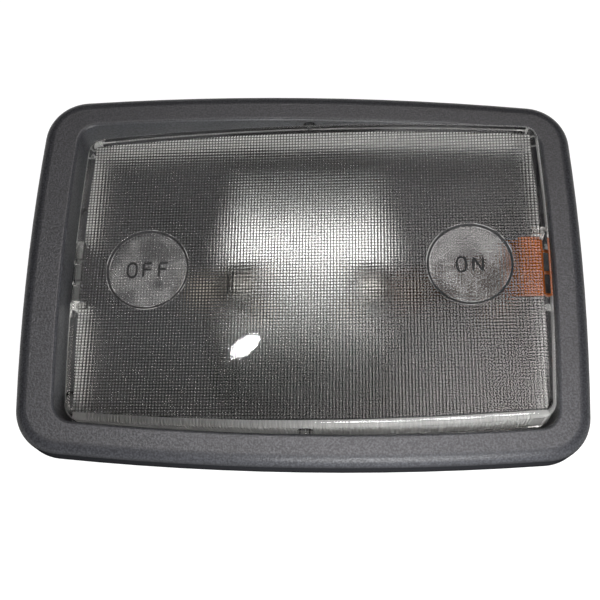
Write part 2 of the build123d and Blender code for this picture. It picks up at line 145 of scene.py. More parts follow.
class DomeFinishes(bpy.types.PropertyGroup):
    """Colours of the finishes."""

    bezel: colour("Bezel", "Grained plastic of the bezel and box", (0.034, 0.035, 0.0395))
    lens: colour("Lens", "Clear plastic of the lens", (0.93, 0.93, 0.92))
    words: colour("Words", "Filled strokes of the words", (0.02, 0.02, 0.021))
    reflector: colour("Reflector", "Bright reflector sheet", (0.83, 0.87, 0.88))
    glass: colour("Bulb glass", "Glass of the bulb", (0.97, 0.97, 0.97))
    caps: colour("Bulb caps", "Tinned caps of the bulb", (0.4, 0.39, 0.37))
    wire: colour("Filament", "Drawn wire of the filament", (0.3, 0.3, 0.32))
    strips: colour("Strips", "Dull steel of the bulb holders", (0.16, 0.15, 0.135))
    brass: colour("Brass", "Rolled brass terminals", (0.72, 0.55, 0.27))
    bronze: colour("Bronze", "Rolled bronze switch leaf", (0.62, 0.145, 0.01))
    rivet: colour("Rivets", "Plain rivets", (0.5, 0.46, 0.4))
    silver: colour("Contacts", "Silver faced contact buttons", (0.8, 0.8, 0.78))


class DomeStage(bpy.types.PropertyGroup):
    """Floor, light and camera."""

    floor: colour("Floor", "Plain pale floor", (0.93, 0.93, 0.93))
    tint: colour("Tint", "Tint of the studio's light", (1.0, 0.95, 0.94))
    wall: share("Walls", "Light from the studio's walls on the viewer's side", 0.15)
    glow: number("Glow", "Strength of the soft light overhead", 11.0)
    window: number("Window", "Strength of the wide light on the viewer's side", 0.1)
    spot_power: number("Spot power", "Small lamp that gives the highlight on the lens", 0.1, "POWER")
    front_power: number("Front power", "Soft lamp near the viewer's side", 0.3, "POWER")
    focal_length: number("Focal length", "Camera focal length in millimetres", 59.697, "CAMERA")


def bowed_quarter(size, inset, corner, counts=(24, 12, 60)):
    """A quarter of the bowed rectangle, from the middle of the ON end to the middle of the upper long side.

    Three arcs that share their normals: the end bow about (a, 0), the corner about k and the side bow about
    (0, b). The point with normal angle t is centre + radius * (cos t, sin t).
    """
    end = size.end_radius - inset
    side = size.side_radius - inset
    a = size.half_length - size.end_radius
    b = size.half_width - size.side_radius
    apart = math.hypot(a, b)
    near, far = side - corner, end - corner
    along = (near**2 - far**2 + apart**2) / (2 * apart)
    off = math.sqrt(near**2 - along**2)
    k = np.array([(a * along - b * off) / apart, b - (b * along + a * off) / apart])
    turn = [0.0, math.atan2(k[1], k[0] - a), math.atan2(k[1] - b, k[0]), math.pi / 2]
    centres = [(a, 0.0), k, (0.0, b)]
    points = []
    for i, (centre, radius) in enumerate(zip(centres, (end, corner, side))):
        t = np.linspace(turn[i], turn[i + 1], counts[i] + 1)[: counts[i] + (i == 2)]
        points.append(np.asarray(centre) + radius * np.stack([np.cos(t), np.sin(t)], 1))
    return np.concatenate(points)


def mirrored_loop(quarter):
    """The closed loop of four mirrored quarters, anticlockwise from the middle of the ON end."""
    left = (quarter * (-1, 1))[::-1]
    lower = (quarter * (1, -1))[::-1]
    return np.concatenate([quarter[:-1], left[:-1], -quarter[:-1], lower[:-1]])


def lifted(points, height):
    """Plan points with a height, one or one for each, as 3-D points."""
    return np.column_stack([points, np.broadcast_to(height, len(points))])


def ring_strip(rings, closed=True):
    """Points and triangles of a skin through rings of equal count."""
    stack = np.asarray(rings)
    rows, cols = stack.shape[:2]
    index = np.arange(rows * cols).reshape(rows, cols)
    if closed:
        index = np.concatenate([index, index[:, :1]], axis=1)
    a, b = index[:-1, :-1].ravel(), index[:-1, 1:].ravel()
    d, c = index[1:, :-1].ravel(), index[1:, 1:].ravel()
    return stack.reshape(-1, 3), np.concatenate([np.stack([a, b, c], 1), np.stack([a, c, d], 1)])


def zipped_rim(inner, outer, inner_turn, outer_turn):
    """Triangles between two loops with different counts, in the order of their turn about the middle."""
    i_order, o_order = np.argsort(inner_turn, kind="stable"), np.argsort(outer_turn, kind="stable")
    i_turn, o_turn = inner_turn[i_order], outer_turn[o_order]
    i_count, o_count = len(inner), len(outer)
    meets_outer = np.searchsorted(o_turn, i_turn, side="left") - 1
    meets_inner = np.searchsorted(i_turn, o_turn, side="right") - 1
    step_i, step_o = np.arange(i_count), np.arange(o_count)
    first = np.stack([i_order[step_i - 1], i_order[step_i], i_count + o_order[meets_outer]], 1)
    second = np.stack([i_count + o_order[step_o - 1], i_count + o_order[step_o], i_order[meets_inner]], 1)
    return np.concatenate([inner, outer]), np.concatenate([first, second])


def capped_tube(rings):
    """Points and faces of a skin through closed rings, with a flat face over the first and the last."""
    points, faces = ring_strip(rings)
    count = len(rings[0])
    ends = [list(range(count)), list(range(len(points) - count, len(points)))]
    return points, faces.tolist() + ends


def welded(parts, grain=1e-7):
    """One set of points and triangles from several: equal points are made one, flat triangles left out."""
    points, faces, start = [], [], 0
    for part_points, part_faces in parts:
        points.append(part_points)
        faces.append(part_faces + start)
        start += len(part_points)
    points, faces = np.concatenate(points), np.concatenate(faces)
    rounded = np.round(points / grain).astype(np.int64)
    _, first, index = np.unique(rounded, axis=0, return_index=True, return_inverse=True)
    faces = index.ravel()[faces]
    good = (faces[:, 0] != faces[:, 1]) & (faces[:, 1] != faces[:, 2]) & (faces[:, 2] != faces[:, 0])
    return points[first], faces[good]


def mesh_object(name, points, faces, outward=True):
    """A mesh object at the origin from points and faces, its faces turned outwards."""
    mesh = bpy.data.meshes.new(name)
    corners = faces.tolist() if isinstance(faces, np.ndarray) else faces
    mesh.from_pydata(np.asarray(points).tolist(), [], corners)
    if outward:
        shell = bmesh.new()
        shell.from_mesh(mesh)
        bmesh.ops.recalc_face_normals(shell, faces=shell.faces[:])
        shell.to_mesh(mesh)
        shell.free()
    mesh.validate()
    piece = bpy.data.objects.new(name, mesh)
    bpy.context.scene.collection.objects.link(piece)
    return piece


def shade_by_angle(piece, degrees):
    """Smooth shading with the edges over an angle kept sharp."""
    piece.data.polygons.foreach_set("use_smooth", np.ones(len(piece.data.polygons), dtype=bool))
    piece.data.set_sharp_from_angle(angle=math.radians(degrees))


def read_array(items, name, width, kind=np.float64):
    """One attribute of all items as an array with rows of a width."""
    values = np.empty(len(items) * width, dtype=kind)
    items.foreach_get(name, values)
    return values.reshape(-1, width) if width > 1 else values


def prism_floor(size):
    """Height of the middles of the prisms, which are the lowest points under the face."""
    return size.top - size.plate - size.prism


def bulged_prisms(size, mesh, turn):
    """Rounds the shading of the prisms, each a shallow pillow, and turns the lens.

    The prisms are the downward faces at their height. At an offset (u, v) from the middle of its cell the
    normal is (k * u, k * v, -1), with k * pitch / 2 = bulge, turned with the lens.
    """
    place = read_array(mesh.vertices, "co", 3)
    corner = read_array(mesh.loops, "vertex_index", 1, np.int32)
    middle, facing = read_array(mesh.polygons, "center", 3), read_array(mesh.polygons, "normal", 3)
    own_face = np.repeat(np.arange(len(mesh.polygons)), read_array(mesh.polygons, "loop_total", 1, np.int32))
    above = middle[:, 2] - prism_floor(size)
    prism = (facing[:, 2] < -0.5) & (above > -1e-6) & (above < size.bulge * size.pitch)
    cell = size.pitch * np.round(middle[:, :2] / size.pitch)
    offset = place[corner, :2] - cell[own_face]
    normal = np.column_stack([offset * size.bulge / (size.pitch / 2), np.full(len(corner), -1.0)])
    normal /= np.linalg.norm(normal, axis=1, keepdims=True)
    normal = normal @ np.array(turn.to_3x3()).T
    normal[~prism[own_face]] = 0.0
    mesh.transform(turn)
    mesh.normals_split_custom_set(normal)


def dish_fall(size, radius):
    """How far the face falls at a radius from a dish's middle: a step at the rim, then a shallow bowl.

    Inside the rim it is step + (depth - step) * (1 - (radius / rim) ^ 2). Across the rim it runs out evenly.
    """
    rim = size.dish_radius - size.rim_inside
    bowl = size.dish_step + (size.dish_depth - size.dish_step) * (1 - np.clip(radius / rim, 0, 1) ** 2)
    width = size.rim_inside + size.rim_outside
    step = np.clip((size.dish_radius + size.rim_outside - radius) / width, 0, 1)
    return np.where(radius <= rim, bowl, size.dish_step * step)


def lens_face(size):
    """The outer face: round each dish, rays from the dish's middle to the edge of its half of the face.

    A point is centre + ray * r, at the top less the dish's fall. The distance r has fixed steps in the dish.
    Outside its rim it is rim + s * (reach - rim), with closer steps near the rim and the edge.
    """
    quarter = bowed_quarter(size, size.edge, size.corner - size.edge)
    half = np.concatenate([(quarter * (1, -1))[::-1], quarter[1:]])
    middle = np.linspace(quarter[-1, 1], -quarter[-1, 1], 48)[1:-1]
    border = np.concatenate([half, np.column_stack([np.zeros_like(middle), middle])])
    centre = np.array([size.dish_offset, 0.0])
    ray = border - centre
    reach = np.linalg.norm(ray, axis=1, keepdims=True)
    ray = ray / reach
    bowl = size.dish_radius * np.array([0, 0.2, 0.4, 0.6, 0.8, 0.92, 0.97, 0.985, 1.01])
    rings = [lifted(centre + ray * r, size.top - dish_fall(size, np.full(len(ray), r))) for r in bowl]
    rim = bowl[-1]
    for s in (0.012, 0.04, 0.5, 0.96, 0.988, 1.0):
        rings.append(lifted(centre + ray * (rim + s * (reach - rim)), size.top))
    right = ring_strip(rings)
    return [right, (right[0] * (-1, 1, 1), right[1])]


def prism_sheet(size):
    """The underside: square pillow prisms, cut off by the bowed walls.

    A grid with two lines to each pitch, through the middles of the cells and along the grooves between them.
    At an offset (u, v) from the middle of its cell a point lies (u * u + v * v) * bulge / pitch above the
    lowest height. Points past a wall are moved to it.
    """
    pitch = size.pitch
    inner = size.wall
    a = size.half_length - size.end_radius
    b = size.half_width - size.side_radius

    def lines(reach):
        count = 2 * math.ceil(reach / pitch) + 1
        return np.arange(-count, count + 1) * pitch / 2

    across, down = lines(size.half_length - inner), lines(size.half_width - inner)
    x, y = np.meshgrid(across, down)
    for _ in range(4):
        wall_x = a + np.sqrt((size.end_radius - inner) ** 2 - np.minimum(np.abs(y), size.half_width) ** 2)
        x = np.clip(x, -wall_x, wall_x)
        wall_y = b + np.sqrt((size.side_radius - inner) ** 2 - x**2)
        y = np.clip(y, -wall_y, wall_y)
    grooves = (np.arange(len(across)) % 2 == 0)[None, :] * 1.0 + (np.arange(len(down)) % 2 == 0)[:, None]
    z = prism_floor(size) + grooves * size.bulge * pitch / 4
    points = np.stack([x, y, z], -1)
    index = np.arange(x.size).reshape(x.shape)
    p, q = index[:-1, :-1].ravel(), index[:-1, 1:].ravel()
    s, r = index[1:, :-1].ravel(), index[1:, 1:].ravel()
    faces = np.concatenate([np.stack([p, q, r], 1), np.stack([p, r, s], 1)])
    border = np.concatenate([points[0, :-1], points[:-1, -1], points[-1, :0:-1], points[:0:-1, 0]])
    lattice = np.stack(np.meshgrid(across, down), -1)
    own = np.concatenate([lattice[0, :-1], lattice[:-1, -1], lattice[-1, :0:-1], lattice[:0:-1, 0]])
    return (points.reshape(-1, 3), faces), border, own


def fluted_wall(size, border, own):
    """The inside of the walls: the border of the prisms carried down, with a ridge at each half pitch.

    At a distance d from its ridge, in pitches, a point stands flute * (1 - 2 * d) inwards. The walls are
    smooth at the corners and behind the end slots.
    """
    x, y = border[:, 0], border[:, 1]
    on_side = np.abs(x) < size.half_length - 3.2 * size.wall
    line = np.where(on_side, own[:, 0], own[:, 1]) / size.pitch
    from_ridge = np.abs(line - np.floor(line) - 0.5)
    ridge = size.flute * (1 - 2 * from_ridge)
    slot = ~on_side & (np.abs(y) < 0.5 * size.slot_length + 2 * size.lug_thickness)
    corner = ~on_side & (np.abs(y) > size.half_width - 3.6 * size.wall)
    ridge = np.where(slot | corner, 0.0, ridge)
    inward = np.where(on_side[:, None], np.stack([0 * x, -np.sign(y)], 1), np.stack([-np.sign(x), 0 * y], 1))
    plan = border[:, :2] + inward * ridge[:, None]
    bottom, under = size.top - size.depth, prism_floor(size)
    lead = 0.0004
    rings = [border] + [lifted(plan, h) for h in (under - lead, 0.5 * (under + bottom), bottom)]
    return ring_strip(rings), rings[-1]


def lens_shell(size):
    """All skins of the lens tray: face, rounded edge, walls, rim, flutes and prisms.

    At an angle t the rounded edge is inset by edge * (1 - sin t) and lies edge * (1 - cos t) under the face.
    """
    rings = []
    for t in np.linspace(0, math.pi / 2, 8):
        inset = size.edge * (1 - math.sin(t))
        loop = mirrored_loop(bowed_quarter(size, inset, size.corner - inset))
        rings.append(lifted(loop, size.top - size.edge * (1 - math.cos(t))))
    bottom, hem = size.top - size.depth, 0.0003
    outer = rings[-1][:, :2]
    rings += [lifted(outer, h) for h in (size.top - size.edge - hem, bottom + hem, bottom)]
    sheet, border, own = prism_sheet(size)
    wall, foot = fluted_wall(size, border, own)
    border_turn = np.arctan2(border[:, 1], border[:, 0])
    outer_turn = np.arctan2(outer[:, 1], outer[:, 0])
    rim = zipped_rim(foot, rings[-1], border_turn, outer_turn)
    return lens_face(size) + [ring_strip(rings), sheet, wall, rim]


def bar_along_x(profile, low, high):
    """Points and faces of a bar with a profile of (y, z) points, from one x to another."""
    count = len(profile)
    ends = [np.column_stack([np.full(count, x), profile]) for x in (low, high)]
    i = np.arange(count)
    sides = np.stack([i, np.roll(i, -1), np.roll(i, -1) + count, i + count], 1)
    return np.concatenate(ends), sides.tolist() + [i.tolist(), (i + count).tolist()]


def joined(shapes):
    """Several sets of points and faces as one."""
    points, faces, start = [], [], 0
    for part_points, part_faces in shapes:
        points.append(part_points)
        faces += [[start + v for v in face] for face in part_faces]
        start += len(part_points)
    return np.concatenate(points), faces


def slot_cutter(size):
    """Comb shaped bars for the pockets in the end walls and the three windows above each."""
    half, rib = size.slot_length / 2, size.slot_rib
    cell = (size.slot_length - 2 * rib) / 3
    past = 0.001
    under, above, below = size.top - size.plate, size.top + past, size.top - size.depth - past
    low, high = cell / 2, cell / 2 + rib
    comb = [(-half, below), (half, below), (half, above), (high, above), (high, under), (low, under)]
    comb += [(low, above), (-low, above), (-low, under), (-high, under), (-high, above), (-half, above)]
    comb = np.array(comb)
    outer = size.half_length - size.slot_skin
    inner = outer - size.slot_width
    return joined([bar_along_x(comb, inner, outer), bar_along_x(comb, -outer, -inner)])


def lens_fittings(size):
    """Lugs beside the end slots, and the two pins on which the lens turns, each with a bevelled tip."""
    shapes = []
    start, stop = size.half_length - size.wall - size.lug_reach, size.half_length - size.wall / 2
    beside, sunk = 0.00002, 0.0015
    near, far = size.slot_length / 2 + beside, size.slot_length / 2 + size.lug_thickness
    low, high = size.top - size.plate - size.lug_depth, size.top - sunk
    profile = np.array([(near, low), (far, low), (far, high), (near, high)])
    for end in ((-stop, -start), (start, stop)):
        shapes += [bar_along_x(profile * (side, 1), *end) for side in (-1, 1)]
    count, bevel, tip_share = 40, 0.0003, 0.83
    turn = np.linspace(0, 2 * math.pi, count, endpoint=False)
    x, z = size.trunnion * np.cos(turn), size.trunnion * np.sin(turn)
    root, tip = size.half_width - 0.6 * size.wall, size.half_width + size.trunnion_reach
    profile = ((root, 1.0), (tip - bevel, 1.0), (tip, tip_share))
    for side in (-1, 1):
        rings = [np.column_stack([k * x, np.full(count, side * y), k * z + pivot_height]) for y, k in profile]
        shapes.append(capped_tube(rings))
    return joined(shapes)


def carve(piece, tool, operation):
    """Applies an exact boolean with a tool object, and removes the tool."""
    modifier = piece.modifiers.new("carve", "BOOLEAN")
    modifier.operation = operation
    modifier.solver = "EXACT"
    modifier.object = tool
    bpy.context.view_layer.update()
    carved = bpy.data.meshes.new_from_object(piece.evaluated_get(bpy.context.evaluated_depsgraph_get()))
    piece.modifiers.clear()
    piece.data = carved
    bpy.data.objects.remove(tool)


def tilt_matrix(size):
    """The turn of the lens about its pins at OFF."""
    pivot = Vector((0.0, 0.0, pivot_height))
    return Matrix.Translation(pivot) @ Matrix.Rotation(-size.tilt, 4, "Y") @ Matrix.Translation(-pivot)


def stroke(path, closed, words, base):
    """A half round stroke carried along a plan path, over a surface of heights base(x, y).

    Across the stroke the height is relief * cos(half turn of the offset); open ends taper to a point.
    """
    ahead = np.roll(path, -1, 0) - np.roll(path, 1, 0)
    if not closed:
        ahead[0], ahead[-1] = path[1] - path[0], path[-1] - path[-2]
    ahead /= np.linalg.norm(ahead, axis=1, keepdims=True)
    aside = np.stack([-ahead[:, 1], ahead[:, 0]], 1)
    across = np.array([-0.5, -0.3, 0.0, 0.3, 0.5, 0.5, -0.5])
    rise = np.array([0.0, 0.7, 1.0, 0.7, 0.0, -1.2, -1.2]) * words.relief
    taper = np.ones(len(path))
    if not closed:
        taper[[0, -1]] = 0.0
        taper[[1, -2]] = 0.75
    plan = path[:, None] + aside[:, None] * (across * words.stroke)[None, :, None] * taper[:, None, None]
    height = base(plan[..., 0], plan[..., 1]) + rise * np.where(taper > 0, 1, 0)[:, None]
    rings = np.concatenate([plan, height[..., None]], -1)
    loops = np.concatenate([rings, rings[:1]]) if closed else rings
    return ring_strip(loops)


def stroke_line(*corners):
    """A plan path of straight runs through corners, with points near both ends for the taper."""
    corners = np.asarray(corners, float)
    place = np.array([0.0, 0.05, 0.3, 0.5, 0.7, 0.95, 1.0])
    runs = [corners[i] + place[:, None] * (corners[i + 1] - corners[i]) for i in range(len(corners) - 1)]
    return np.concatenate([runs[0]] + [run[1:] for run in runs[1:]])


def letter_paths(letter, words):
    """Plan paths of one letter about its own middle, with whether each is closed.

    The O is the oval (w * cos t, h * sin t) with both shares to the power of 0.8, which squares it a little.
    """
    w, h = words.width / 2, words.height / 2
    if letter == "O":
        t = np.linspace(0, 2 * math.pi, 48, endpoint=False)
        c, s = np.cos(t), np.sin(t)
        return [(np.stack([w * np.sign(c) * np.abs(c) ** 0.8, h * np.sign(s) * np.abs(s) ** 0.8], 1), True)]
    if letter == "F":
        return [
            (stroke_line((-w, -h), (-w, h)), False),
            (stroke_line((-w, h), (w, h)), False),
            (stroke_line((-w, 0.1 * h), (0.7 * w, 0.1 * h)), False),
        ]
    return [
        (stroke_line((-w, -h), (-w, h)), False),
        (stroke_line((-w, h), (w, -h)), False),
        (stroke_line((w, -h), (w, h)), False),
    ]


def word_strokes(word, middle, size, words):
    """Strokes of a word's letters and of the ring round them, laid in the dish about a middle."""

    def base(x, y):
        return size.top - dish_fall(size, np.hypot(x - middle, y))

    strokes = []
    for i, letter in enumerate(word):
        shift = (middle + (i - (len(word) - 1) / 2) * words.spacing, 0.0)
        for path, closed in letter_paths(letter, words):
            strokes.append(stroke(path + shift, closed, words, base))
    t = np.linspace(0, 2 * math.pi, 120, endpoint=False)
    ring = (size.dish_radius - words.ring_inset) * np.stack([np.cos(t), np.sin(t)], 1)
    strokes.append(stroke(ring + (middle, 0.0), True, words, base))
    return strokes


def filament_coil(low, high, wire=0.00009, turns=26):
    """Points and faces of a coil of round wire that fills a box along X.

    At an angle t round the axis and s round the wire, the place along the axis runs evenly with t, plus
    wire * sin s, and the distance from the axis is radius - wire + wire * cos s.
    """
    radius, middle = (high.z - low.z) / 2, (low + high) / 2
    t = np.linspace(0, 2 * math.pi * turns, turns * 18)[:, None]
    s = np.linspace(0, 2 * math.pi, 6, endpoint=False)[None, :]
    along = low.x + wire + (high.x - low.x - 2 * wire) * t / t[-1] + wire * np.sin(s)
    out = radius - wire + wire * np.cos(s)
    return capped_tube(np.stack([along, middle.y + out * np.cos(t), middle.z + out * np.sin(t)], -1))


def bulb_envelope(glass, cap, cap_wall=0.0004, shoulder=0.0015, clear=0.0002):
    """Points and faces of the bulb's tube, from the boxes of the glass and of one cap.

    Outside each cap's mouth it narrows in a round shoulder: at an angle t the place is shoulder * sin t along
    the axis, and the distance from it is neck + (radius - neck) * cos t. The necks run on into the caps.
    """
    (low, high), (cap_low, cap_high) = glass, cap
    middle, radius, end = (low + high) / 2, (high.z - low.z) / 2, (high.x - low.x) / 2
    neck, mouth = (cap_high.z - cap_low.z) / 2 - cap_wall, cap_low.x - middle.x
    t = np.linspace(0, math.pi / 2, 9)
    along = np.concatenate([mouth - clear - shoulder + shoulder * np.sin(t), [end]])
    out = np.concatenate([neck + (radius - neck) * np.cos(t), [neck]])
    along, out = np.concatenate([-along[::-1], along]), np.concatenate([out[::-1], out])
    turn = np.linspace(0, 2 * math.pi, 64, endpoint=False)[None, :]
    x, r = middle.x + along[:, None] + 0 * turn, out[:, None]
    return capped_tube(np.stack([x, middle.y + r * np.cos(turn), middle.z + r * np.sin(turn)], -1))


def new_finish(name):
    """A material with its node tree and its shader."""
    material = bpy.data.materials.new(name)
    material.use_nodes = True
    return material, material.node_tree, material.node_tree.nodes["Principled BSDF"]


def put(tree, kind, values=None, **settings):
    """A node with its settings and the values or links of its inputs."""
    node = tree.nodes.new(kind)
    for key, value in settings.items():
        setattr(node, key, value)
    for key, value in (values or {}).items():
        if isinstance(value, bpy.types.NodeSocket):
            tree.links.new(value, node.inputs[key])
        else:
            node.inputs[key].default_value = value
    return node


def speckle(tree, size, detail=2.0, stretch=(1.0, 1.0, 1.0)):
    """Noise in object coordinates with spots of about a size in metres, stretched along some axes."""
    place = put(tree, "ShaderNodeTexCoord").outputs["Object"]
    scale = [1.0 / s for s in stretch]
    mapped = put(tree, "ShaderNodeMapping", {"Vector": place, "Scale": scale}).outputs[0]
    values = {"Vector": mapped, "Scale": 1.0 / size, "Detail": detail}
    return put(tree, "ShaderNodeTexNoise", values).outputs[0]


def between(tree, source, low, high, start=0.3, stop=0.7):
    """A number that runs from low to high as the source runs from start to stop."""
    values = {"Value": source, "From Min": start, "From Max": stop, "To Min": low, "To Max": high}
    return put(tree, "ShaderNodeMapRange", values).outputs[0]


def toned(tree, source, tone, dark, light, start=0.3, stop=0.7):
    """A colour that runs from a darker to a lighter tone as the source runs from start to stop."""
    ramp = put(tree, "ShaderNodeValToRGB", {"Fac": source})
    first, last = ramp.color_ramp.elements
    first.position, last.position = start, stop
    first.color = [min(1.0, c * dark) for c in tone] + [1.0]
    last.color = [min(1.0, c * light) for c in tone] + [1.0]
    return ramp.outputs[0]


def relief(tree, shader, source, strength, distance):
    """Bump on a shader from a source of heights."""
    node = put(tree, "ShaderNodeBump", {"Height": source, "Strength": strength, "Distance": distance})
    tree.links.new(node.outputs[0], shader.inputs["Normal"])


def join(tree, source, shader, name):
    """Links a source to one of the shader's inputs."""
    tree.links.new(source, shader.inputs[name])


def times(tree, first, second):
    """One colour multiplied by another."""
    values = {"Fac": 1.0, "Color1": first, "Color2": second}
    return put(tree, "ShaderNodeMixRGB", values, blend_type="MULTIPLY").outputs[0]


def darker(tree, source, part, tone, level):
    """A colour that turns into a darker level of a tone as the part goes from none to one."""
    values = {"Fac": part, "Color1": source, "Color2": (*[level * c for c in tone], 1.0)}
    return put(tree, "ShaderNodeMixRGB", values).outputs[0]


def blended(tree, part, first, second):
    """A mix of two shaders, made the material's surface."""
    mix = put(tree, "ShaderNodeMixShader", {0: part, 1: first.outputs[0], 2: second.outputs[0]})
    tree.links.new(mix.outputs[0], tree.nodes["Material Output"].inputs["Surface"])
    return mix


def lamps_through(tree, shader, tint):
    """Lets the lamps shine through a clear piece, tinted."""
    clear = put(tree, "ShaderNodeBsdfTransparent", {"Color": (*tint, 1.0)})
    blended(tree, put(tree, "ShaderNodeLightPath").outputs["Is Shadow Ray"], shader, clear)


def sums(tree, operation, first, *others):
    """A chain of the same sum over several sources or numbers."""
    for other in others:
        first = put(tree, "ShaderNodeMath", {0: first, 1: other}, operation=operation).outputs[0]
    return first


def close_to(tree, source, value, within):
    """One where a source lies within a distance of a value, else none."""
    return put(tree, "ShaderNodeMath", {0: source, 1: value, 2: within}, operation="COMPARE").outputs[0]


def plan_length(tree, x, y):
    """Length of the plan vector (x, y)."""
    squares = sums(tree, "ADD", *(sums(tree, "MULTIPLY", c, c) for c in (x, y)))
    return sums(tree, "POWER", squares, 0.5)


def dot_product(tree, first, second):
    """Dot product of two vectors."""
    values = {0: first, 1: second}
    return put(tree, "ShaderNodeVectorMath", values, operation="DOT_PRODUCT").outputs["Value"]


def grained_plastic(tone):
    """Dark plastic with a spark eroded grain: fine bumps, paler specks on their tops, a slow change of tone.

    The outside of the skirt and box is left matt, and painted shade darkens its colour: it is low, and its
    normal points away from the middle in plan. The rounding above it has less sheen than the face.
    """
    material, tree, shader = new_finish("grained_plastic")
    grain_size, drift_size, grain_height = 0.00045, 0.02, 0.00006
    skirt_full, skirt_end = 0.0052, 0.0062
    spot = put(tree, "ShaderNodeTexCoord").outputs
    height = put(tree, "ShaderNodeSeparateXYZ", {0: spot["Object"]}).outputs["Z"]
    flat = {0: spot["Object"], 1: (1.0, 1.0, 0.0)}
    plan = put(tree, "ShaderNodeVectorMath", flat, operation="MULTIPLY").outputs[0]
    away = dot_product(tree, spot["Normal"], plan)
    low = between(tree, height, 1.0, 0.0, skirt_full, skirt_end)
    skirt = sums(tree, "MULTIPLY", between(tree, away, 0.0, 1.0, 0.012, 0.02), low)
    fine, slow = speckle(tree, grain_size, 1.5), speckle(tree, drift_size, 2.0)
    grain = toned(tree, fine, tone, 0.72, 1.45, 0.38, 0.66)
    drift = toned(tree, slow, (1.0, 1.0, 1.0), 0.9, 1.0)
    # Painted shade: the colour of the skirt and box outside darkens to 0.35 of the tone
    join(tree, darker(tree, times(tree, grain, drift), skirt, tone, 0.35), shader, "Base Color")
    sheen = between(tree, away, 0.5, 0.15, 0.004, 0.02)
    bare = between(tree, skirt, 1.0, 0.0, 0.0, 1.0)
    join(tree, sums(tree, "MULTIPLY", sheen, bare), shader, "Specular IOR Level")
    join(tree, between(tree, fine, 0.45, 0.3), shader, "Roughness")
    relief(tree, shader, fine, 1.0, grain_height)
    return material


def lens_places(tree, size):
    """Distances from the lens's two middle planes, and the height, all in the lens before its tilt."""
    place = put(tree, "ShaderNodeTexCoord").outputs["Object"]
    back = tilt_matrix(size).inverted()
    values = {"Vector": place, "Location": back.translation, "Rotation": back.to_euler()}
    level = put(tree, "ShaderNodeSeparateXYZ", {0: put(tree, "ShaderNodeMapping", values).outputs[0]}).outputs
    x, y = (put(tree, "ShaderNodeMath", {0: level[c]}, operation="ABSOLUTE").outputs[0] for c in "XY")
    return x, y, level["Z"]


def groove_places(tree, size, x, y):
    """One in the grooves between the prisms, where the distance to the nearest cell middle is largest."""
    edge, soft = 0.5 - size.groove / 2, 0.04
    cells = [sums(tree, "PINGPONG", sums(tree, "DIVIDE", c, size.pitch), 0.5) for c in (x, y)]
    return sums(tree, "MAXIMUM", *(between(tree, c, 0.0, 1.0, edge - soft, edge + soft) for c in cells))


def flute_places(tree, size, x, y):
    """One on the flutes, along the inner bows of the long walls and of the end walls."""
    side = plan_length(tree, x, sums(tree, "SUBTRACT", y, size.half_width - size.side_radius))
    end = plan_length(tree, sums(tree, "SUBTRACT", x, size.half_length - size.end_radius), y)
    slack = 0.00005
    ridge, half = size.flute / 2, size.flute / 2 + slack
    bows = ((side, size.side_radius - size.wall), (end, size.end_radius - size.wall))
    return sums(tree, "MAXIMUM", *(close_to(tree, bow, inner - ridge, half) for bow, inner in bows))


def lug_places(tree, size, x, y):
    """One on the lugs beside the end slots."""
    across = close_to(tree, y, 0.5 * (size.slot_length + size.lug_thickness), 0.55 * size.lug_thickness)
    along = close_to(tree, x, size.half_length - 1.5 * size.wall, 1.2 * size.wall)
    return sums(tree, "MULTIPLY", across, along)


